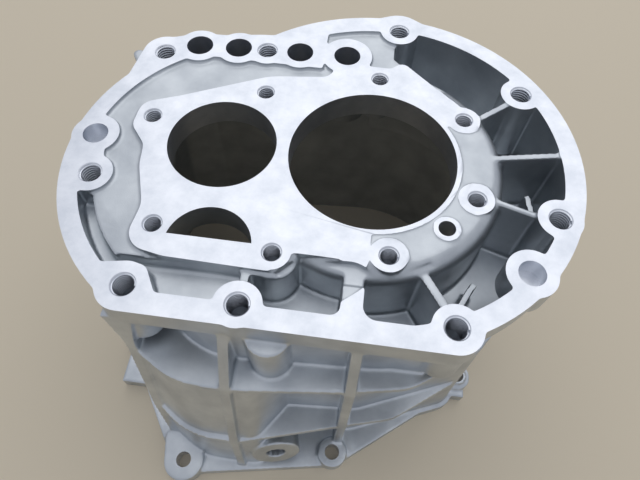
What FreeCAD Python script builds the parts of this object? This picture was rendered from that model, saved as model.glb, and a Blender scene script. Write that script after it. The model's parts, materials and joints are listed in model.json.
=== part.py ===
"""Gearbox housing: one aluminium die casting, open at the bottom.

Frame: millimetres, +Z up. The origin is on the axis of the main bearing bore, in the machined top
face. X runs along the straight front edge of the top flange, and Y points away from it.
"""
import FreeCAD, Part
import math
import os
import re

os.makedirs("parts", exist_ok=True)
doc = FreeCAD.newDocument("gearbox_housing")
sheet = doc.addObject("Spreadsheet::Sheet", "sizes")

# ---------------------------------------------------------------- driving sizes
SIZES = {
    # heights below the machined top face
    "flange_thick": 14.0, "shallow_depth": 2.1, "shoulder_depth": 3.2, "trough_depth": 10.5,
    "pocket_depth": 40.0, "pocket_one_depth": 27.0, "shelf_a_depth": 44.0, "shelf_b_depth": 105.0,
    "total_height": 163.0, "base_thick": 8.0, "shelf_thick": 4.0, "wall": 5.0, "cut_over": 2.0,
    # bearing bores and the idler window
    "main_bore_r": 40.0, "counter_bore_r": 26.0, "counter_x": -72.0, "counter_y": -1.7,
    "window_r": 18.9, "window_x": -66.4, "window_y": -57.1, "window_chord_y": -54.0,
    # the two discs that the top flange is drawn round
    "right_disc_x": 3.0, "right_disc_y": 3.0, "right_disc_r": 96.5,
    "left_disc_x": -55.0, "left_disc_y": -12.0, "left_disc_r": 88.3,
    "front_face_y": -91.5, "rim_right": 9.5, "rim_left": 8.8, "rim_front": 9.8,
    "neck_y": 55.0, "shoulder_front_y": -67.0,
    # bearing seat island round the main bore with its rolled edge, and the pockets round it
    "island_r": 63.5, "island_wall": 6.5, "island_top_depth": 0.4, "island_roll": 8.5,
    "window_lug_r": 11.5, "window_lug_roll": 4.0,
    "pocket_one_left": -46.0, "pocket_one_right": -7.0, "pocket_back_y": -56.0,
    "pocket_two_left": 2.0, "pocket_six_left": 6.5,
    "rib_thick": 3.0, "rib_drop": 0.6, "ridge_thick": 4.0, "low_rib_depth": 12.0,
    # trough along the left rim and the front
    "trough_width": 6.0, "trough_end_y": -38.0, "trough_back_y": -65.5, "trough_right_x": -50.0,
    # round bosses and what is drilled in them
    "screw_minor_r": 4.25, "screw_depth": 24.0, "screw_boss_r": 10.3,
    "screw_boss_depth": 37.0, "plate_minor_r": 3.4, "plate_tap_depth": 18.0,
    "plate_boss_r": 8.0, "plate_boss_depth": 22.0,
    "rail_r": 7.0, "rail_boss_r": 11.6, "rail_boss_depth": 38.0, "rail_four_boss_r": 13.3,
    "dowel_r": 6.0, "dowel_depth": 9.0, "dowel_boss_r": 11.3, "dowel_boss_depth": 16.0,
    "oil_hole_x": 35.5, "oil_hole_y": -34.7, "oil_hole_r": 3.9,
    # outer wall: the neck above the first shelf, and the flared body below it
    "upper_wall_step": 5.3, "lower_flare": 4.0, "right_taper": 11.0,
    "neck_front_x": -52.3, "neck_front_y": -46.9, "neck_front_r": 44.0,
    "front_mid_turn": -88.0, "front_mid_inset": 14.4, "front_mid_r": 12.0,
    "front_right_turn": -48.3, "front_right_inset": 10.8, "front_right_r": 8.0,
    "bell_left_x": -100.0, "bell_mid_x": -78.0, "bell_right_x": -43.0, "recess_left_x": -28.0,
    "corner_y_a": -91.0, "corner_y_b": -102.5, "corner_y_base": -109.5,
    "bell_y_a": -103.0, "bell_y_b": -116.5, "bell_y_base": -122.5,
    "recess_y_a": -92.0, "recess_y_b": -95.0, "recess_y_base": -100.0,
    "nose_x": -35.5, "nose_y": -88.5, "nose_r": 10.0,
    # shelves, upright ribs and the gusset under the front left corner
    "shelf_a_front": -106.5, "shelf_b_front": -119.5, "upright_thick": 5.0,
    "upright_left_x": -54.0, "upright_right_x": 2.5, "foot_left_y": -125.5, "foot_right_y": -104.5,
    "foot_corner_y": -112.0, "gusset_top": 14.0, "gusset_end": 3.0,
    # base flange
    "lug_hole_r": 4.5, "lug_r": 12.0, "small_lug_r": 9.0, "lug_height": 11.0,
    "tongue_x": -100.0, "tongue_y": -115.0, "tongue_r": 4.0,
    "base_edge_r": 7.5, "base_proud": 3.0, "ear_long": 20.0, "ear_wide": 12.0,
    "ear_left_x": -142.0, "ear_left_y": -85.0, "ear_right_x": 70.0, "ear_right_y": -66.0,
    "tab_x": -133.0, "tab_y": 59.0, "tab_r": 3.0,
    # drain boss
    "drain_x": -34.0, "drain_y": -114.0, "drain_depth": 134.0, "drain_r": 14.0,
    "drain_hole_r": 5.5, "drain_proud": 5.0, "drain_tilt": 12.0, "drain_turn": 14.0,
}

# holes by name: each name gives the sheet the two cells NAME_x and NAME_y
COVER_SCREWS = {
    "screw_front_left": (-95.9, -79.9), "screw_front_mid": (-48.2, -82.1),
    "screw_front_right": (39.9, -80.3), "screw_right": (85.9, -22.6),
    "screw_back_right": (72.5, 51.6), "screw_back": (7.8, 89.9), "screw_neck": (-61.8, 64.1),
    "screw_back_left": (-115.2, 54.7), "screw_left": (-127.8, -27.5),
}
PLATE_SCREWS = {
    "plate_front_left": (-92.3, -50.0), "plate_window": (-38.6, -56.9), "plate_front": (11.0, -51.6),
    "plate_right": (49.0, -17.1), "plate_back_right": (43.2, 29.7), "plate_back": (-0.3, 51.7),
    "plate_neck": (-57.2, 33.7), "plate_left": (-109.2, 10.2),
}
RAILS = {
    "rail_one": (-98.2, 62.3), "rail_two": (-77.3, 63.6), "rail_three": (-44.2, 65.1),
    "rail_four": (-18.9, 66.2),
}
DOWELS = {"dowel_right": (71.4, -51.7), "dowel_left": (-133.0, -4.8)}
LUGS = {
    "lug_front_left": (-89.5, -127.0), "lug_front_mid": (0.0, -111.0), "lug_right": (76.5, -53.0),
    "lug_back_right": (85.5, 31.5), "lug_back": (35.5, 84.5), "lug_neck": (-52.0, 86.5),
    "lug_back_left": (-133.5, 63.0), "lug_left": (-141.0, -50.0),
}
# ends of the ribs in the pockets, by name in the same way
RIB_ENDS = {
    "rib_back_in": (48.0, 30.0), "rib_back_out": (65.0, 44.0),
    "rib_right_in": (55.0, 7.8), "rib_right_out": (90.0, 14.8),
    "rib_front_in": (56.0, -15.0), "rib_front_out": (78.0, -21.6),
    "rib_low_in": (76.3, -3.0), "rib_low_out": (78.7, -18.0),
    "ridge_in": (25.5, -54.5), "ridge_out": (38.0, -73.0),
    "rib_corner_in": (53.5, -48.0), "rib_corner_out": (42.0, -70.0),
}

row = 0
for name, value in SIZES.items():
    row += 1
    sheet.set(f"A{row}", name)
    sheet.set(f"B{row}", str(value))
    sheet.setAlias(f"B{row}", name)
for group in (COVER_SCREWS, PLATE_SCREWS, RAILS, DOWELS, LUGS, RIB_ENDS):
    for name, place in group.items():
        for axis, value in zip("xy", place):
            row += 1
            sheet.set(f"A{row}", f"{name}_{axis}")
            sheet.set(f"B{row}", str(value))
            sheet.setAlias(f"B{row}", f"{name}_{axis}")
doc.recompute()


def size(name):
    """The number in the sheet's cell."""
    return float(sheet.get(name))


def bind(thing, path, rule):
    """Bind a property to the sheet: each word of the rule that names a cell is read from it."""
    words = re.sub(r"[a-z][a-z_]*", lambda found: "sizes." + found.group(0), str(rule))
    thing.setExpression(path, words)


# ---------------------------------------------------------------- solids bound to the sheet
def cylinder(name, x, y, radius, low, high):
    """An upright cylinder between two heights."""
    rod = doc.addObject("Part::Cylinder", name)
    bind(rod, "Radius", radius)
    bind(rod, "Height", f"({high}) - ({low})")
    bind(rod, "Placement.Base.x", x)
    bind(rod, "Placement.Base.y", y)
    bind(rod, "Placement.Base.z", low)
    return rod


def block(name, x_span, y_span, z_span):
    """A box between two rules on each axis."""
    brick = doc.addObject("Part::Box", name)
    for side, axis, (low, high) in zip(("Length", "Width", "Height"), "xyz",
                                       (x_span, y_span, z_span)):
        bind(brick, side, f"({high}) - ({low})")
        bind(brick, f"Placement.Base.{axis}", low)
    return brick


def rounded(corners):
    """Edges of a closed outline from (x, y, radius) corners, counter-clockwise."""
    edges = []
    ends = []
    count = len(corners)
    for i, (x, y, radius) in enumerate(corners):
        here = FreeCAD.Vector(x, y, 0)
        back = (FreeCAD.Vector(*corners[i - 1][:2], 0) - here).normalize()
        ahead = (FreeCAD.Vector(*corners[(i + 1) % count][:2], 0) - here).normalize()
        half = back.getAngle(ahead) / 2
        reach = radius / math.tan(half)
        start, stop = here + back * reach, here + ahead * reach
        if radius > 0:
            middle = here + (back + ahead).normalize() * (radius / math.sin(half) - radius)
            edges.append(Part.Arc(start, middle, stop))
        ends.append((start, stop, len(edges)))
    lines = [(at, Part.LineSegment(ends[i][1], ends[(i + 1) % count][0]))
             for i, (_, _, at) in enumerate(ends)]
    for at, line in reversed(lines):
        edges.insert(at, line)
    return edges


def belt(circles):
    """Edges of the tight belt round (x, y, radius) circles, counter-clockwise."""
    count = len(circles)
    normals = []
    for i, (x, y, radius) in enumerate(circles):
        nx, ny, next_radius = circles[(i + 1) % count]
        along = FreeCAD.Vector(nx - x, ny - y, 0)
        lean = (radius - next_radius) / along.Length
        along.normalize()
        outward = FreeCAD.Vector(along.y, -along.x, 0)
        normals.append(along * lean + outward * math.sqrt(1 - lean * lean))
    edges = []
    for i, (x, y, radius) in enumerate(circles):
        centre = FreeCAD.Vector(x, y, 0)
        first, last = normals[i - 1], normals[i]
        start, stop = centre + first * radius, centre + last * radius
        turn = math.atan2(first.x * last.y - first.y * last.x, first.dot(last)) % (2 * math.pi)
        spin = FreeCAD.Rotation(FreeCAD.Vector(0, 0, 1), math.degrees(turn / 2))
        edges.append(Part.Arc(start, centre + spin.multVec(first) * radius, stop))
        nx, ny, next_radius = circles[(i + 1) % count]
        edges.append(Part.LineSegment(stop, FreeCAD.Vector(nx, ny, 0) + last * next_radius))
    return edges


def sketch(name, edges, height):
    """A sketch parallel to XY at a height given as a rule."""
    drawing = doc.addObject("Sketcher::SketchObject", name)
    drawing.addGeometry(edges, False)
    bind(drawing, "Placement.Base.z", height)
    return drawing


def prism(name, edges, low, high):
    """A sketch raised from one height to another."""
    solid = doc.addObject("Part::Extrusion", name)
    solid.Base = sketch(name + "_sketch", edges, low)
    solid.DirMode = "Custom"
    solid.Dir = FreeCAD.Vector(0, 0, 1)
    solid.Solid = True
    bind(solid, "LengthFwd", f"({high}) - ({low})")
    return solid


def loft(name, sections):
    """A ruled solid through (edges, height rule) sections, from the top down."""
    solid = doc.addObject("Part::Loft", name)
    solid.Sections = [sketch(f"{name}_{i}", edges, height)
                      for i, (edges, height) in enumerate(sections)]
    solid.Solid = True
    solid.Ruled = True
    return solid


def fuse(name, things):
    """The union of the things."""
    union = doc.addObject("Part::MultiFuse", name)
    union.Shapes = things
    return union


def cut(name, base, tool):
    """The base with the tool taken away."""
    rest = doc.addObject("Part::Cut", name)
    rest.Base, rest.Tool = base, tool
    return rest


def common(name, things):
    """What the things share."""
    shared = doc.addObject("Part::MultiCommon", name)
    shared.Shapes = things
    return shared


def strip(name, start, end, thick, low, high):
    """An upright web of even thickness between two named points."""
    a, b = (FreeCAD.Vector(size(at + "_x"), size(at + "_y"), 0) for at in (start, end))
    side = (b - a).normalize().cross(FreeCAD.Vector(0, 0, 1)) * (thick / 2)
    corners = [(p.x, p.y, 0) for p in (a - side, a + side, b + side, b - side)]
    return prism(name, rounded(corners)[0::1], low, high)


# ---------------------------------------------------------------- top flange and deck
over = "cut_over"
right_disc = (size("right_disc_x"), size("right_disc_y"))
left_disc = (size("left_disc_x"), size("left_disc_y"))
boss_r = size("screw_boss_r")


def place(name, radius):
    """The (x, y, radius) circle of a named hole."""
    return (size(name + "_x"), size(name + "_y"), radius)


def off_centre(disc, name):
    """How far a named hole lies from a disc's centre."""
    return math.hypot(size(name + "_x") - disc[0], size(name + "_y") - disc[1])


def disc_pair(name, inset_right, inset_left, low, high):
    """The two flange discs, drawn in by their insets, as upright cylinders."""
    return [cylinder(name + "_right", "right_disc_x", "right_disc_y",
                     f"right_disc_r - {inset_right}", low, high),
            cylinder(name + "_left", "left_disc_x", "left_disc_y",
                     f"left_disc_r - {inset_left}", low, high)]


front_bar = prism("front_bar", belt([
    place("screw_front_left", size("screw_front_left_y") - size("front_face_y")),
    place("screw_front_right", size("screw_front_right_y") - size("front_face_y")),
    (*right_disc, boss_r)]), "-flange_thick", "0")
rail_bar = prism("rail_bar", belt([
    (*left_disc, boss_r), (*right_disc, boss_r), place("rail_four", boss_r),
    place("screw_neck", boss_r - 1), place("rail_one", boss_r - 1),
    place("screw_back_left", boss_r)]), "-flange_thick", "0")
back_bump = prism("back_bump", belt([
    place("screw_back", size("rail_four_boss_r")),
    (*right_disc, off_centre(right_disc, "screw_back") + boss_r / 3)]),
    "-flange_thick", "0")
corner_bump = prism("corner_bump", belt([
    place("screw_back_left", size("rail_boss_r")),
    (*left_disc, off_centre(left_disc, "screw_back_left") - boss_r)]),
    "-flange_thick", "0")
flange_discs = fuse("flange_discs", disc_pair("flange", "0", "0", "-flange_thick", "0")
                    + [back_bump, corner_bump])
flat_front = block("flat_front", ("-2 * right_disc_r", "2 * right_disc_r"),
                   ("front_face_y", "2 * right_disc_r"), ("-flange_thick", "0"))
flange = fuse("flange", [common("flange_cropped", [flange_discs, flat_front]), front_bar, rail_bar]
              + [cylinder(name + "_pad", name + "_x", name + "_y", "rail_boss_r",
                          "-flange_thick", "0") for name in RAILS])

# shallow floor between the rim and the bearing seat, a little lower along the front
shallow_left = common("shallow_left", [
    cylinder("shallow_left_disc", "left_disc_x", "left_disc_y", "left_disc_r - rim_left",
             "-shallow_depth", over),
    block("shallow_left_crop", ("-2 * left_disc_r", "right_disc_x"),
          ("front_face_y + rim_front", "neck_y"), ("-shallow_depth", over))])
shallow_back = common("shallow_back", [
    cylinder("shallow_back_disc", "right_disc_x", "right_disc_y", "right_disc_r - rim_right - 1.5",
             "-shallow_depth", over),
    block("shallow_back_crop", ("rail_three_x + rail_four_boss_r", "right_disc_r"),
          ("neck_y - 7", "2 * right_disc_r"), ("-shallow_depth", over))])
shoulder_cut = block("shoulder_cut", ("plate_front_left_x", "right_disc_x + right_disc_r / 2"),
                     ("shoulder_front_y", "plate_front_y"), ("-shoulder_depth", over))
trough_ring = cut("trough_ring", cylinder(
    "trough_outer", "left_disc_x", "left_disc_y", "left_disc_r - rim_left", "-trough_depth", over),
    cylinder("trough_inner", "left_disc_x", "left_disc_y", "left_disc_r - rim_left - trough_width",
             "-trough_depth - 1", over + " + 1"))
trough_left = common("trough_left", [trough_ring, block(
    "trough_crop", ("-2 * left_disc_r", "screw_front_left_x - screw_minor_r"),
    ("screw_front_left_y + screw_boss_r - 1", "trough_end_y"), ("-trough_depth", over))])
front_edge = size("front_face_y") + size("rim_front")
front_trough = prism("front_trough", rounded([
    (size("screw_front_left_x") - 8, size("screw_front_left_y") + boss_r - 0.8, 1),
    (size("screw_front_left_x") + 6, size("screw_front_left_y") + boss_r, 5),
    (size("screw_front_left_x") + 13, front_edge, 3), (size("trough_right_x"), front_edge, 6),
    (size("trough_right_x"), size("trough_back_y"), 3),
    (size("screw_front_left_x") - 8, size("trough_back_y"), 1)]), "-trough_depth", over)
corner_pad = prism("corner_pad", rounded([
    (size("screw_front_left_x") - 14, size("screw_front_left_y") + 6, 0),
    (size("screw_front_left_x"), size("screw_front_left_y") - 6, 0),
    (size("screw_front_left_x") + 14, front_edge - 1, 0),
    (size("screw_front_left_x") + 7, size("screw_front_left_y") + boss_r - 1, 5),
    (size("screw_front_left_x"), size("screw_front_left_y") + boss_r + 0.6, 8),
    (size("screw_front_left_x") - 11.5, size("screw_front_left_y") + boss_r - 1.4, 0)]),
    "-flange_thick", "0")
dowel_pad = strip("dowel_pad", "dowel_left", "screw_left", boss_r, "-dowel_boss_depth", "0")

# bearing seat plate: its outline turns round the screw bosses and the island
plate_outline = rounded([
    (-102.0, -61.5, 10), (-84.0, -65.0, 20), (-35.5, -66.0, 5), (-28.5, -58.5, 5),
    (-2.5, -56.5, 12), (9.5, -62.5, 6), (44.5, -42.5, 5), (57.0, -18.0, 6),
    (55.0, 6.0, 45), (48.5, 31.0, 8), (11.0, 65.5, 4), (5.0, 60.0, 3), (-22.0, 60.0, 3),
    (-27.0, 49.0, 6), (-57.0, 45.0, 30), (-99.0, 25.0, 12), (-116.5, 18.0, 8),
    (-117.5, 3.0, 8), (-108.5, -8.0, 8), (-107.0, -20.0, 20), (-99.6, -41.0, 15)])
plate = prism("plate", plate_outline, "-flange_thick", "0")

# ---------------------------------------------------------------- outer wall
step = size("upper_wall_step")
flare = size("lower_flare")


def near_rim(name, radius):
    """A circle placed by its direction from the right disc and its inset from that disc's edge."""
    turn = math.radians(size(name + "_turn"))
    out = size("right_disc_r") - size(name + "_inset")
    return (right_disc[0] + out * math.cos(turn), right_disc[1] + out * math.sin(turn), radius)


def wall_belt(grow, inset):
    """The belt that the body follows: its left grows downwards, and its right is drawn in."""
    right = size("right_disc_r") - step - size("right_taper") * grow / flare - inset
    rails = size("rail_boss_r") - 1 + grow - inset
    return belt([
        (*left_disc, size("left_disc_r") - step + grow - inset),
        near_rim("front_mid", size("front_mid_r") + grow - inset),
        near_rim("front_right", size("front_right_r") + grow - inset),
        (*right_disc, right), place("rail_one", rails), place("screw_back_left", rails - 1)])


def neck_belt(inset):
    """The belt that the neck follows between the top flange and the first shelf."""
    rails = size("rail_boss_r") - 1 - inset
    return belt([
        place("neck_front", size("neck_front_r") - inset),
        (*right_disc, size("right_disc_r") - step - inset),
        place("rail_one", rails), place("screw_back_left", rails - 1)])


def bell(corner_y, bell_y, recess_y, inset):
    """The bulge at the front left, with its sharp left corner and its S-shaped right end."""
    back_y = size("left_disc_y") - size("left_disc_r") / 2
    return rounded([
        (size("bell_left_x") + inset, corner_y + inset, 3.0 - inset / 3),
        (size("bell_mid_x"), bell_y + inset, 40.0),
        (size("bell_right_x") - inset / 2, bell_y + inset, 9.0 - inset / 2),
        (size("recess_left_x") - inset, recess_y + inset, 6.0 + inset / 2),
        (size("recess_left_x") - inset, back_y, 2.0),
        (size("bell_left_x") + inset, back_y, 2.0)])


wall_top = "-flange_thick + 1"
base_top = "-total_height + base_thick"
levels = (("-shelf_a_depth", "a"), ("-shelf_b_depth", "b"), (base_top, "base"))


def bell_sections(inset, roof):
    """The bell's sections under its roof, at the second shelf and at the base flange."""
    return [(bell(size("corner_y_" + at), size("bell_y_" + at), size("recess_y_" + at), inset),
             low + (roof if at == "a" else "")) for low, at in levels]


wall = size("wall")
outside = fuse("outside", [
    prism("neck_wall", neck_belt(0), "-shelf_a_depth - shelf_thick", wall_top),
    loft("lower_wall", [(wall_belt(0, 0), "-shelf_a_depth"),
                        (wall_belt(flare, 0), base_top)]),
    loft("bell_outside", bell_sections(0, "")),
    prism("bell_foot", bell(size("corner_y_base"), size("bell_y_base"), size("recess_y_base"), 0),
          "-total_height", base_top)])
base_lugs = [place(name, size("base_edge_r")) for name in LUGS]
base_flange = prism("base_flange", belt(base_lugs), "-total_height", base_top)
base_rim = prism("base_rim", wall_belt(flare, -size("base_proud")), "-total_height", base_top)
inside = fuse("inside", [
    prism("upper_room", neck_belt(wall), "-shelf_a_depth - shelf_thick", "-flange_thick"),
    loft("lower_room", [(wall_belt(0, wall), "-shelf_a_depth - shelf_thick"),
                        (wall_belt(flare, wall), "-total_height - cut_over")]),
    loft("bell_room", bell_sections(wall, " - shelf_thick")),
    prism("foot_room", bell(size("corner_y_base"), size("bell_y_base"), size("recess_y_base"),
                            wall), "-total_height - cut_over", base_top)])

# ---------------------------------------------------------------- shelves, uprights and bosses
a_front = size("shelf_a_front")
b_front = size("shelf_b_front")
shelf_a = prism("shelf_a", rounded([
    (size("bell_left_x"), a_front + 13, 3), (-78.0, a_front, 45), (-50.0, a_front, 30),
    (2.0, -100.5, 12), (30.0, -95.0, 25), (63.0, -72.0, 20), (72.0, -50.0, 8),
    (size("bell_left_x"), -50.0, 3)]), "-shelf_a_depth - shelf_thick", "-shelf_a_depth")
shelf_b = prism("shelf_b", rounded([
    (size("bell_left_x"), b_front + 14.5, 3), (-80.0, b_front, 45), (-52.0, b_front, 25),
    (4.0, -103.5, 12), (30.0, -96.5, 25), (65.0, -71.0, 12), (70.0, -50.0, 6),
    (size("bell_left_x"), -50.0, 3)]), "-shelf_b_depth - shelf_thick", "-shelf_b_depth")


def upright(name, x, top_y, a_y, b_y, foot_y):
    """An upright rib whose front edge runs down past the shelves to the base flange."""
    thick = size("upright_thick")
    back_y = size("front_face_y") + 2 * wall
    top, low = 1 - size("flange_thick"), size("base_thick") - size("total_height") - 1
    points = [(back_y, top), (top_y, top), (a_y, -size("shelf_a_depth")),
              (b_y, -size("shelf_b_depth")), (foot_y, low), (back_y, low)]
    corners = [FreeCAD.Vector(x - thick / 2, y, z) for y, z in points]
    rib = doc.addObject("Part::Feature", name)
    face = Part.Face(Part.makePolygon(corners + corners[:1]))
    rib.Shape = face.extrude(FreeCAD.Vector(thick, 0, 0))
    return rib


face_y = size("front_face_y")
uprights = [
    upright("upright_left", size("upright_left_x"), face_y - 0.5, a_front - 0.5, b_front - 1,
            size("foot_left_y")),
    upright("upright_right", size("upright_right_x"), face_y, a_front + 4.5, b_front + 14.5,
            size("foot_right_y")),
    upright("upright_corner", size("bell_left_x") + 0.5, face_y + 2, a_front + 12, b_front + 13.5,
            size("foot_corner_y"))]


def corner_section(width, front_y):
    """A plan section of the gusset between the bell's corner and the front edge."""
    left = size("bell_left_x") - width / 2
    return rounded([(left, face_y + wall, 0), (left, front_y + 1, 0),
                    (left + width, front_y, 0), (left + width, face_y + wall, 0)])


gusset = loft("gusset", [
    (corner_section(size("gusset_top"), face_y + 0.5), "-flange_thick + 1"),
    (corner_section(size("gusset_end"), a_front + 12), "-shelf_a_depth")])
bosses = [cylinder(name + "_boss", name + "_x", name + "_y", "screw_boss_r",
                   "-screw_boss_depth", "0") for name in COVER_SCREWS]
bosses += [cylinder(name + "_boss", name + "_x", name + "_y", "plate_boss_r",
                    "-plate_boss_depth", "0") for name in PLATE_SCREWS]
bosses += [cylinder(name + "_boss", name + "_x", name + "_y",
                    "rail_four_boss_r" if name == "rail_four" else "rail_boss_r",
                    "-rail_boss_depth", "0") for name in RAILS]
bosses += [cylinder(name + "_boss", name + "_x", name + "_y", "dowel_boss_r",
                    "-dowel_boss_depth", "0") for name in DOWELS]
lugs = [cylinder(name + "_lug", name + "_x", name + "_y", "small_lug_r",
                 "-total_height", "-total_height + lug_height") for name in LUGS]
tongue = prism("tongue", belt([place("lug_front_left", size("lug_r")),
                               place("tongue", size("tongue_r"))]),
               "-total_height", "-total_height + lug_height")
nose = cylinder("nose", "nose_x", "nose_y", "nose_r", "-shelf_a_depth - 1", "-flange_thick + 1")
ears = [block(name, (name + "_x", f"{name}_x + {reach}"), (name + "_y", name + "_y + ear_long"),
              ("-total_height", base_top + " + 1"))
        for name, reach in (("ear_left", "2 * ear_wide"), ("ear_right", "ear_wide"))]
tab = prism("tab", belt([
    place("tab", size("tab_r")),
    (size("screw_back_left_x") - wall, size("screw_back_left_y") - size("rail_boss_r"), wall),
    place("screw_back_left", size("tab_r"))]), "-pocket_depth", "-flange_thick / 2")


def drain(name, radius, back, proud):
    """A cylinder on the drain boss's tilted axis, from inside the wall to outside it."""
    rod = doc.addObject("Part::Cylinder", name)
    bind(rod, "Radius", radius)
    bind(rod, "Height", f"{back} + {proud}")
    turn = FreeCAD.Rotation(FreeCAD.Vector(0, 0, 1), size("drain_turn")).multiply(
        FreeCAD.Rotation(FreeCAD.Vector(1, 0, 0), 90 - size("drain_tilt")))
    start = FreeCAD.Vector(size("drain_x"), size("drain_y"), -size("drain_depth"))
    rod.Placement = FreeCAD.Placement(start - turn.multVec(FreeCAD.Vector(0, 0, back)), turn)
    return rod


drain_boss = drain("drain_boss", "drain_r", 18, "drain_proud")

# ---------------------------------------------------------------- pockets round the seat
def rolled(name, x, y, radius, roll):
    """The walls of an island or a lug whose top edge is rolled over."""
    top = "-island_top_depth"
    ring = doc.addObject("Part::Torus", name + "_roll")
    bind(ring, "Radius1", f"{radius} - {roll}")
    bind(ring, "Radius2", roll)
    bind(ring, "Placement.Base.x", x)
    bind(ring, "Placement.Base.y", y)
    bind(ring, "Placement.Base.z", f"{top} - {roll}")
    return [ring, cylinder(name + "_core", x, y, f"{radius} - {roll}", "-shelf_a_depth", top),
            cylinder(name + "_skirt", x, y, radius, "-shelf_a_depth", f"{top} - {roll}")]


pocket_block = cut("pocket_block", common("pocket_block_cropped", [
    fuse("pocket_block_whole", [
        cylinder("pocket_block_ring", "right_disc_x", "right_disc_y",
                 "right_disc_r - upper_wall_step - 1", "-shelf_a_depth", "-flange_thick + 1"),
        block("pocket_block_front", ("pocket_one_left - wall", "right_disc_x + island_r / 2"),
              ("front_face_y + wall", "pocket_back_y"), ("-shelf_a_depth", "-flange_thick + 1"))]),
    fuse("pocket_side", [
        block("pocket_side_right", ("pocket_two_left - wall", "2 * right_disc_r"),
              ("front_face_y + 3", "2 * right_disc_r"), ("-shelf_a_depth", "0")),
        block("pocket_side_front", ("pocket_one_left - wall", "right_disc_x"),
              ("front_face_y + 3", "pocket_back_y"), ("-shelf_a_depth", "0"))])]),
    cylinder("island_room", "0", "0", "island_r - island_wall", "-shelf_a_depth - 1",
             "-flange_thick"))
far = 2 * size("right_disc_r")
pocket_ring = common("pocket_ring", [
    cylinder("pocket_ring_outer", "right_disc_x", "right_disc_y", "right_disc_r - rim_right",
             "-pocket_depth", over),
    fuse("pocket_ring_side", [
        prism("pocket_ring_front", rounded([
            (size("pocket_two_left"), front_edge, 6), (far, front_edge, 6), (far, 0, 2),
            (size("pocket_two_left"), 0, 2)]), "-pocket_depth", over),
        prism("pocket_ring_back", rounded([
            (size("pocket_six_left"), -10, 2), (far, -10, 6), (far, far, 6),
            (size("pocket_six_left"), far, 2)]), "-pocket_depth", over)])])
pocket_one = prism("pocket_one", rounded([
    (size("pocket_one_left"), front_edge, 5), (size("pocket_one_right"), front_edge, 4),
    (size("pocket_one_right"), size("pocket_back_y"), 4),
    (size("pocket_one_left"), size("pocket_back_y"), 4)]), "-pocket_one_depth", over)
seat_walls = fuse("seat_walls", [
    *rolled("island", "0", "0", "island_r", "island_roll"),
    *rolled("window_lug", "plate_window_x", "plate_window_y", "window_lug_r", "window_lug_roll"),
    block("seat_left", ("pocket_one_left - wall", "plate_window_x"),
          ("trough_back_y - 2", "0"), ("-shelf_a_depth", over + " + 1")),
    prism("island_corner", rounded([
        (-10.0, 10.0, 1), (50.0, 30.0, 6), (11.0, 65.5, 4), (4.0, 72.0, 3), (-10.0, 72.0, 1)]),
        "-pocket_depth - 1", over + " + 1")])
rib_top = "-rib_drop"
rib_foot = "-pocket_depth - 1"
ribs = [
    strip("rib_back", "rib_back_in", "rib_back_out", size("rib_thick"), rib_foot, rib_top),
    strip("rib_right", "rib_right_in", "rib_right_out", size("rib_thick"), rib_foot, rib_top),
    strip("rib_front", "rib_front_in", "rib_front_out", size("rib_thick"), rib_foot,
          rib_top + " - 1"),
    strip("rib_low", "rib_low_in", "rib_low_out", size("rib_thick"), rib_foot, "-low_rib_depth"),
    strip("rib_corner", "rib_corner_in", "rib_corner_out", size("rib_thick"), rib_foot,
          "-2 * low_rib_depth"),
    strip("ridge", "ridge_in", "ridge_out", size("ridge_thick"), rib_foot,
          "-shoulder_depth - 1")]

# ---------------------------------------------------------------- casting, then machining
outer_form = fuse("outer_form", [outside, base_flange, base_rim, shelf_a, shelf_b, drain_boss,
                                 tongue] + uprights + lugs + ears)
shell = cut("shell", outer_form, inside)
topped = fuse("topped", [shell, flange, pocket_block, nose, gusset, tab])
decked = cut("decked", topped, fuse("deck_cuts", [
    shallow_left, shallow_back, shoulder_cut, trough_left, front_trough]))
seated = fuse("seated", [decked, plate])
pocketed = cut("pocketed", seated, cut("deep_cuts", fuse("pockets", [pocket_ring, pocket_one]),
                                       seat_walls))
casting = fuse("casting", [pocketed, corner_pad, dowel_pad] + bosses + ribs)

window = common("window", [
    cylinder("window_round", "window_x", "window_y", "window_r", "-wall - flange_thick", over),
    block("window_chord", ("window_x - window_r", "window_x + window_r"),
          ("window_chord_y", "window_y + window_r"), ("-wall - flange_thick", over))])
holes = [window,
         cylinder("main_bore", "0", "0", "main_bore_r", "-wall - flange_thick", over),
         cylinder("counter_bore", "counter_x", "counter_y", "counter_bore_r",
                  "-wall - flange_thick", over),
         cylinder("oil_hole", "oil_hole_x", "oil_hole_y", "oil_hole_r", "-wall - flange_thick",
                  over),
         drain("drain_hole", "drain_hole_r", 30, "drain_proud + 1")]
holes += [cylinder(name + "_hole", name + "_x", name + "_y", "screw_minor_r", "-screw_depth", over)
          for name in COVER_SCREWS]
holes += [cylinder(name + "_hole", name + "_x", name + "_y", "plate_minor_r", "-plate_tap_depth",
                   over) for name in PLATE_SCREWS]
holes += [cylinder(name + "_hole", name + "_x", name + "_y", "rail_r",
                   "-rail_boss_depth - cut_over", over) for name in RAILS]
holes += [cylinder(name + "_hole", name + "_x", name + "_y", "dowel_r", "-dowel_depth", over)
          for name in DOWELS]
holes += [cylinder(name + "_hole", name + "_x", name + "_y", "lug_hole_r",
                   "-total_height - cut_over", "-total_height + lug_height + cut_over")
          for name in LUGS]
machined = cut("machined", casting, fuse("drilled", holes))

housing = doc.addObject("Part::Refine", "gearbox_housing")
housing.Source = machined
housing.Label = "gearbox_housing"
doc.recompute()

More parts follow.
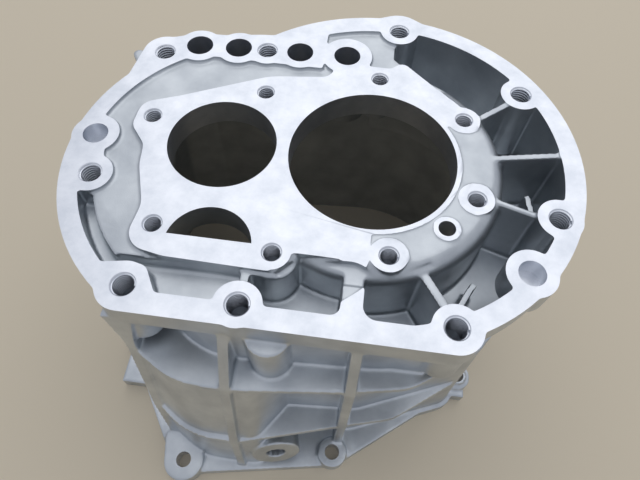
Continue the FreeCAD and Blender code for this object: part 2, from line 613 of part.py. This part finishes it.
for thing in doc.Objects:
    if {"Invalid", "Error"} & set(thing.State):
        raise RuntimeError(f"{thing.Name} failed: {thing.State}")
if housing.Shape.isNull() or not housing.Shape.isValid() or len(housing.Shape.Solids) != 1:
    raise RuntimeError("the housing is not one valid solid")
housing.Shape.exportStep(os.path.join("parts", housing.Label + ".step"))
print("housing", round(housing.Shape.Volume / 1000, 1), "cm3", housing.Shape.BoundBox)
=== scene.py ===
"""A die-cast gearbox housing, seen from above its front edge on a plain pale floor."""
import json
import math
import bpy
import numpy as np
from mathutils import Matrix, Vector


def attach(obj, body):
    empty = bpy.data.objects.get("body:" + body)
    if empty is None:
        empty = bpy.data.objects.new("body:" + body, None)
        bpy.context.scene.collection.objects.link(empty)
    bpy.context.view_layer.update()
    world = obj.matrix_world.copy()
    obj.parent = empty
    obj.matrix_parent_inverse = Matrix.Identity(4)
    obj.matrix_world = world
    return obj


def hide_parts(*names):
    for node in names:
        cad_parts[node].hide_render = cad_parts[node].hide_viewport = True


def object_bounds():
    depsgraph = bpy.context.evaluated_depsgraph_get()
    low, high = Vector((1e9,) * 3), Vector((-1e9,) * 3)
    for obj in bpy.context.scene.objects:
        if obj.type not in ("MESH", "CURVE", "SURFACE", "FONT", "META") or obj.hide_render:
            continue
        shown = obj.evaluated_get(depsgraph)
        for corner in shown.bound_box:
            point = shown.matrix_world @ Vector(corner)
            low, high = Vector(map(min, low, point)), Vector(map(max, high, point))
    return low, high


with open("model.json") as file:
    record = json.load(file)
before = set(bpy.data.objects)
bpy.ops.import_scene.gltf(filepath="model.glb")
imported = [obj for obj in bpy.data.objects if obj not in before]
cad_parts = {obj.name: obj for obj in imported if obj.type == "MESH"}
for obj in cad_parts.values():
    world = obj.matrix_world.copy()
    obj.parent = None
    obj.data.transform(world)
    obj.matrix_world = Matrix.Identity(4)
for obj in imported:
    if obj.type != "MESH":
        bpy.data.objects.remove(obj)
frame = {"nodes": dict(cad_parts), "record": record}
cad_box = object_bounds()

# ---------------------------------------------------------------- camera
# A hand-held camera stands just in front of the housing and looks steeply down on its top face.
MM = 0.001
scene = bpy.context.scene
scene.view_settings.view_transform = "Standard"
camera_data = bpy.data.cameras.new("camera")
camera_data.lens = 29.85
camera_data.sensor_width = 36.0
camera_data.clip_start = 0.01
camera = bpy.data.objects.new("camera", camera_data)
scene.collection.objects.link(camera)
ahead = Vector((-0.0429, 0.4911, -0.8700)).normalized()
right = Vector((0.9916, 0.1272, 0.0229))
right = (right - ahead * right.dot(ahead)).normalized()
up = right.cross(ahead)
camera.matrix_world = Matrix.Translation(Vector((-9.20, -160.23, 198.35)) * MM) @ Matrix(
    (right, up, -ahead)).transposed().to_4x4()
scene.camera = camera

# ---------------------------------------------------------------- casting
# One aluminium die casting. Its skin has small radii on every edge and a fine grain from the die.
# The top face, the bores, the base and the drain boss are machined afterwards, so they stay crisp.
VOXEL = 0.75 * MM
SKIN_STOCK = 3.0 * MM
PLUG_SPARE = 1.6 * MM
OVERRUN = 6 * MM
SEAT_THICK = 14 * MM
TRIANGLES = 165000
SOFTENING = 4
WINDOW = {"x": -66.4 * MM, "y": -57.1 * MM, "radius": 18.9 * MM, "chord_y": -54.0 * MM}


def new_object(name, mesh):
    """An object at the origin that holds the mesh."""
    thing = bpy.data.objects.new(name, mesh)
    scene.collection.objects.link(thing)
    return thing


def settle(thing):
    """Turn the object's modifiers into plain mesh."""
    baked = bpy.data.meshes.new_from_object(
        thing.evaluated_get(bpy.context.evaluated_depsgraph_get()))
    thing.modifiers.clear()
    old = thing.data
    thing.data = baked
    bpy.data.meshes.remove(old)
    return thing


def rod_mesh(spans, sides=96):
    """One mesh with a closed round rod for each (start, end, start radius, end radius)."""
    points, faces = [], []
    for start, end, start_r, end_r in spans:
        start, end = Vector(start), Vector(end)
        turn = (end - start).to_track_quat("Z", "Y")
        first = len(points)
        for centre, radius in ((start, start_r), (end, end_r)):
            for k in range(sides):
                angle = 2 * math.pi * k / sides
                spoke = Vector((math.cos(angle) * radius, math.sin(angle) * radius, 0))
                points.append(centre + turn @ spoke)
        faces.append([first + k for k in reversed(range(sides))])
        faces.append([first + sides + k for k in range(sides)])
        for k in range(sides):
            after = (k + 1) % sides
            faces.append([first + k, first + after, first + sides + after, first + sides + k])
    mesh = bpy.data.meshes.new("rods")
    mesh.from_pydata(points, [], faces)
    return mesh


def prism_mesh(outline, low, high):
    """A closed upright prism over a counter-clockwise outline."""
    count = len(outline)
    points = [(x, y, z) for z in (low, high) for x, y in outline]
    faces = [list(reversed(range(count))), list(range(count, 2 * count))]
    faces += [[k, (k + 1) % count, count + (k + 1) % count, count + k] for k in range(count)]
    mesh = bpy.data.meshes.new("prism")
    mesh.from_pydata(points, [], faces)
    return mesh


def half_round(spare):
    """The idler window's outline: a half disc cut off by a chord, grown by a little to spare."""
    radius = WINDOW["radius"] + spare
    chord = WINDOW["chord_y"] - spare
    first = math.asin((chord - WINDOW["y"]) / radius)
    return [(WINDOW["x"] + radius * math.cos(turn), WINDOW["y"] + radius * math.sin(turn))
            for turn in np.linspace(first, math.pi - first, 49)]


def hole_ends(mount):
    """The mouth, the bottom and the radius of a mount's hole."""
    axis = Vector(mount["axis"])
    reach = mount["dims"]["length_mm"] * MM / 2
    middle = Vector(mount["pos_m"])
    if mount["name"] == "main_bore":
        middle -= axis * reach
    return middle + axis * reach, middle - axis * reach, mount["dims"]["r_mm"] * MM


def boolean(thing, tool, operation):
    """Join or cut a closed mesh with another one, which is then used up."""
    step = thing.modifiers.new(operation.lower(), "BOOLEAN")
    step.operation = operation
    step.solver = "MANIFOLD"
    step.object = tool
    settle(thing)
    mesh = tool.data
    bpy.data.objects.remove(tool)
    bpy.data.meshes.remove(mesh)


top_z = cad_box[1][2]
base_z = cad_box[0][2]
drilled = [mount for mount in frame["record"]["mounts"] if mount["dims"].get("r_mm")]
upright_holes = [mount for mount in drilled if abs(mount["axis"][2]) > 0.99]
casting = new_object("gearbox_casting", frame["nodes"]["gearbox_housing"].data.copy())
weld = casting.modifiers.new("weld", "WELD")
weld.merge_threshold = 1e-6
settle(casting)

# the machined faces get stock to cut away, and the holes in them are filled for now
places = np.empty(len(casting.data.vertices) * 3, np.float32)
casting.data.vertices.foreach_get("co", places)
places = places.reshape(-1, 3)
places[places[:, 2] > top_z - 1e-5, 2] += SKIN_STOCK
places[places[:, 2] < base_z + 1e-5, 2] -= SKIN_STOCK
casting.data.vertices.foreach_set("co", places.ravel())
casting.data.update()
for mount in upright_holes:
    mouth, bottom, radius = hole_ends(mount)
    low, high = sorted((mouth.z, bottom.z))
    low = low - SKIN_STOCK if low < base_z + 1e-4 else low
    high = high + SKIN_STOCK if high > top_z - 1e-4 else high
    plug = rod_mesh([(Vector((mouth.x, mouth.y, low)), Vector((mouth.x, mouth.y, high)),
                      radius + PLUG_SPARE, radius + PLUG_SPARE)])
    boolean(casting, new_object("plug", plug), "UNION")
seat_low = top_z - SEAT_THICK
boolean(casting, new_object("plug", prism_mesh(half_round(PLUG_SPARE), seat_low,
                                               top_z + SKIN_STOCK)), "UNION")

# the cast skin: every edge softened by the die's radii
skin = casting.modifiers.new("skin", "REMESH")
skin.mode = "VOXEL"
skin.voxel_size = VOXEL
soften = casting.modifiers.new("soften", "SMOOTH")
soften.factor = 0.5
soften.iterations = SOFTENING
settle(casting)
thin = casting.modifiers.new("thin", "DECIMATE")
thin.ratio = min(1.0, TRIANGLES / (2 * len(casting.data.polygons)))
settle(casting)

# the machinist's cuts: both faces, the window, then every hole
span = 0.4
square = [(-span, -span), (span, -span), (span, span), (-span, span)]
for outline, low, high in ((square, top_z, top_z + 0.03), (square, base_z - 0.03, base_z),
                           (half_round(0), seat_low - OVERRUN, top_z + OVERRUN)):
    boolean(casting, new_object("slab", prism_mesh(outline, low, high)), "DIFFERENCE")
for mount in drilled:
    mouth, bottom, radius = hole_ends(mount)
    axis = Vector(mount["axis"])
    tapped = mount["kind"] == "threaded_hole" and axis.z > 0.99
    bore_r = radius + (0.75 * MM if radius > 4 * MM else 0.65 * MM) if tapped else radius
    through = mount["name"].startswith(("main", "counter", "rail", "lug", "oil", "drain"))
    start = bottom - axis * (OVERRUN if through else 0)
    drill = rod_mesh([(start, mouth + axis * OVERRUN, bore_r, bore_r)])
    boolean(casting, new_object("drill", drill), "DIFFERENCE")
    if tapped:
        lip = 1.0 * MM
        sink = rod_mesh([(mouth - axis * lip, mouth + axis * lip, bore_r - 0.5 * MM,
                          bore_r + 1.5 * MM)])
        boolean(casting, new_object("sink", sink), "DIFFERENCE")

casting.data.shade_smooth()
casting.data.set_sharp_from_angle(angle=math.radians(38))


def principled(name, colour, roughness, metallic=1.0):
    """A new material with its nodes, and its shader."""
    material = bpy.data.materials.new(name)
    material.use_nodes = True
    shader = material.node_tree.nodes["Principled BSDF"]
    shader.inputs["Base Color"].default_value = (*colour, 1.0)
    shader.inputs["Roughness"].default_value = roughness
    shader.inputs["Metallic"].default_value = metallic
    return material, material.node_tree, shader


def add(tree, kind, **settings):
    """A node of a kind; a setting that names a socket sets it, and any other an attribute."""
    node = tree.nodes.new(kind)
    for key, value in settings.items():
        label = key.replace("_", " ").title()
        if label in node.inputs:
            node.inputs[label].default_value = value
        else:
            setattr(node, key, value)
    return node


def cast_skin():
    """Blasted die-cast skin: mid grey, with a fine grain and slow changes of tone."""
    material, tree, shader = principled("cast_skin", (0.60, 0.63, 0.66), 0.4)
    place = add(tree, "ShaderNodeTexCoord")
    grain = add(tree, "ShaderNodeTexNoise", scale=1500.0, detail=3.0, roughness=0.6)
    cloud = add(tree, "ShaderNodeTexNoise", scale=45.0, detail=4.0, roughness=0.55)
    for noise in (grain, cloud):
        tree.links.new(place.outputs["Object"], noise.inputs["Vector"])
    tone = add(tree, "ShaderNodeValToRGB")
    tone.color_ramp.elements[0].color = (0.47, 0.50, 0.53, 1)
    tone.color_ramp.elements[0].position = 0.3
    tone.color_ramp.elements[1].color = (0.66, 0.69, 0.71, 1)
    tone.color_ramp.elements[1].position = 0.7
    tree.links.new(cloud.outputs["Fac"], tone.inputs["Fac"])
    tree.links.new(tone.outputs["Color"], shader.inputs["Base Color"])
    bump = add(tree, "ShaderNodeBump", strength=0.35, distance=0.00012)
    tree.links.new(grain.outputs["Fac"], bump.inputs["Height"])
    tree.links.new(bump.outputs["Normal"], shader.inputs["Normal"])
    return material


def machined_face():
    """Milled aluminium: bright, with fine cutter marks and faint scuffs."""
    material, tree, shader = principled("machined_face", (0.80, 0.82, 0.86), 0.34)
    place = add(tree, "ShaderNodeTexCoord")
    marks = add(tree, "ShaderNodeTexNoise", scale=900.0, detail=2.0, roughness=0.5)
    scuff = add(tree, "ShaderNodeTexNoise", scale=70.0, detail=6.0, roughness=0.65)
    stretch = add(tree, "ShaderNodeMapping")
    stretch.inputs["Scale"].default_value = (0.12, 1.0, 1.0)
    stretch.inputs["Rotation"].default_value = (0.0, 0.0, 0.5)
    tree.links.new(place.outputs["Object"], stretch.inputs["Vector"])
    tree.links.new(stretch.outputs["Vector"], marks.inputs["Vector"])
    tree.links.new(place.outputs["Object"], scuff.inputs["Vector"])
    tone = add(tree, "ShaderNodeValToRGB")
    tone.color_ramp.elements[0].color = (0.70, 0.73, 0.78, 1)
    tone.color_ramp.elements[0].position = 0.35
    tone.color_ramp.elements[1].color = (0.86, 0.88, 0.92, 1)
    tone.color_ramp.elements[1].position = 0.65
    tree.links.new(scuff.outputs["Fac"], tone.inputs["Fac"])
    tree.links.new(tone.outputs["Color"], shader.inputs["Base Color"])
    bump = add(tree, "ShaderNodeBump", strength=0.15, distance=0.00008)
    tree.links.new(marks.outputs["Fac"], bump.inputs["Height"])
    tree.links.new(bump.outputs["Normal"], shader.inputs["Normal"])
    return material


casting.data.materials.clear()
casting.data.materials.append(cast_skin())
casting.data.materials.append(machined_face())
count = len(casting.data.polygons)
centres = np.empty(count * 3, np.float32)
normals = np.empty(count * 3, np.float32)
casting.data.polygons.foreach_get("center", centres)
casting.data.polygons.foreach_get("normal", normals)
centres, normals = centres.reshape(-1, 3), normals.reshape(-1, 3)

# the milled faces and the walls of the holes are bare metal
cut = (centres[:, 2] > top_z - 3e-5) & (normals[:, 2] > 0.95)
cut |= (centres[:, 2] < base_z + 3e-5) & (normals[:, 2] < -0.95)
for mount in upright_holes:
    mouth, bottom, radius = hole_ends(mount)
    low, high = sorted((mouth.z, bottom.z))
    away = np.hypot(centres[:, 0] - mouth.x, centres[:, 1] - mouth.y)
    threaded = mount["kind"] == "threaded_hole"
    lip = 2.0 * MM if threaded else 0.1 * MM
    steep = np.abs(normals[:, 2]) < (0.8 if threaded else 0.5)
    hole = (away < radius + lip) & (away > radius - 1 * MM) & steep
    if mount["name"].startswith("dowel"):
        hole |= (away < radius) & (normals[:, 2] > 0.9) & (centres[:, 2] < high - 1 * MM)
    cut |= hole & (centres[:, 2] > low - 6.1 * MM) & (centres[:, 2] < high + 0.1 * MM)
casting.data.polygons.foreach_set("material_index", cut.astype(np.int32))
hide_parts("gearbox_housing")
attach(casting, "root")

# ---------------------------------------------------------------- threads
# The tapped holes take M10 cover screws, M8 bearing retainer screws and an M12 drain plug.
# Each thread is cut with a tap, and its ridge winds down the wall of the hole.
def thread_tree():
    """Nodes that wind one ridge up from every point: its profile is a four-sided tooth."""
    tree = bpy.data.node_groups.new("tapped_thread", "GeometryNodeTree")
    ends = {}
    for label, kind, way in (("Places", "NodeSocketGeometry", "INPUT"),
                             ("Turns", "NodeSocketFloat", "INPUT"),
                             ("Pitch", "NodeSocketFloat", "INPUT"),
                             ("Wall Radius", "NodeSocketFloat", "INPUT"),
                             ("Tooth", "NodeSocketFloat", "INPUT"),
                             ("Finish", "NodeSocketMaterial", "INPUT"),
                             ("Threads", "NodeSocketGeometry", "OUTPUT")):
        ends[label] = tree.interface.new_socket(label, in_out=way, socket_type=kind).identifier
    group_in = tree.nodes.new("NodeGroupInput")
    group_out = tree.nodes.new("NodeGroupOutput")
    height = add(tree, "ShaderNodeMath", operation="MULTIPLY")
    helix = add(tree, "GeometryNodeCurveSpiral", resolution=28)
    level = tree.nodes.new("GeometryNodeSetCurveNormal")
    level.mode = "Z_UP"
    tooth = add(tree, "GeometryNodeCurvePrimitiveCircle", resolution=4)
    ridge = add(tree, "GeometryNodeCurveToMesh", fill_caps=True)
    spread = tree.nodes.new("GeometryNodeInstanceOnPoints")
    real = tree.nodes.new("GeometryNodeRealizeInstances")
    finish = tree.nodes.new("GeometryNodeSetMaterial")
    for source, outlet, target, inlet in (
            (group_in, "Turns", height, 0), (group_in, "Pitch", height, 1),
            (group_in, "Turns", helix, "Rotations"), (height, 0, helix, "Height"),
            (group_in, "Wall Radius", helix, "Start Radius"),
            (group_in, "Wall Radius", helix, "End Radius"), (helix, 0, level, "Curve"),
            (group_in, "Tooth", tooth, "Radius"), (level, 0, ridge, "Curve"),
            (tooth, 0, ridge, "Profile Curve"), (group_in, "Places", spread, "Points"),
            (ridge, 0, spread, "Instance"), (spread, 0, real, 0), (real, 0, finish, "Geometry"),
            (group_in, "Finish", finish, "Material"), (finish, 0, group_out, "Threads")):
        tree.links.new(source.outputs[outlet], target.inputs[inlet])
    return tree, ends


winding, inlets = thread_tree()
tapped_finish = casting.data.materials[1]


def cut_threads(name, feet, turns, pitch, wall_r, tooth):
    """The threads whose lowest turns start at the feet."""
    marks = bpy.data.meshes.new(name)
    marks.from_pydata(feet, [], [])
    thread = new_object(name, marks)
    step = thread.modifiers.new("wind", "NODES")
    step.node_group = winding
    for label, value in (("Turns", turns), ("Pitch", pitch), ("Wall Radius", wall_r),
                         ("Tooth", tooth), ("Finish", tapped_finish)):
        step[inlets[label]] = value
    return settle(thread)


tapped_holes = [(mount, *hole_ends(mount)) for mount in upright_holes
                if mount["kind"] == "threaded_hole"]
for name, turns, pitch, minor_r, tooth in (("cover_threads", 9.0, 1.5 * MM, 4.25 * MM, 0.75 * MM),
                                           ("plate_threads", 8.0, 1.25 * MM, 3.4 * MM, 0.62 * MM)):
    feet = [(mouth.x, mouth.y, top_z - turns * pitch - 0.9 * MM)
            for mount, mouth, bottom, radius in tapped_holes if abs(radius - minor_r) < 1e-5]
    threads = cut_threads(name, feet, turns, pitch, minor_r + tooth, tooth)
    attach(threads, "root")
drain_mouth, drain_bottom, drain_r = next(hole_ends(mount) for mount in drilled
                                          if mount["name"] == "drain_hole")
drain_thread = cut_threads("drain_thread", [(0.0, 0.0, 0.0)], 6.0, 1.5 * MM, drain_r, 0.6 * MM)
drain_thread.data.transform(
    Matrix.Translation(drain_bottom)
    @ (drain_mouth - drain_bottom).to_track_quat("Z", "Y").to_matrix().to_4x4())
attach(drain_thread, "root")

# ---------------------------------------------------------------- floor and light
# A plain pale floor, one wide softbox above and behind, and a weak fill all round.
floor_mesh = bpy.data.meshes.new("floor")
floor_mesh.from_pydata([(x, y, base_z) for x, y in ((-3, -3), (3, -3), (3, 3), (-3, 3))], [],
                       [(0, 1, 2, 3)])
floor = new_object("floor", floor_mesh)
paper, paper_tree, _ = principled("pale_paper", (0.70, 0.61, 0.46), 0.8, 0.0)
floor_mesh.materials.append(paper)


def softbox(name, place, aim, size, watts):
    """A square area lamp turned towards a point."""
    lamp = bpy.data.lights.new(name, "AREA")
    lamp.shape = "SQUARE"
    lamp.size = size
    lamp.energy = watts
    holder = bpy.data.objects.new(name, lamp)
    holder.location = place
    holder.rotation_euler = (Vector(aim) - Vector(place)).to_track_quat("-Z", "Y").to_euler()
    scene.collection.objects.link(holder)


softbox("key_softbox", (0.05, 0.75, 1.10), (0.0, 0.0, 0.0), 1.8, 6.5)
world = bpy.data.worlds.new("room")
world.use_nodes = True
world.node_tree.nodes["Background"].inputs["Color"].default_value = (0.86, 0.90, 1.0, 1.0)
world.node_tree.nodes["Background"].inputs["Strength"].default_value = 0.60
scene.world = world
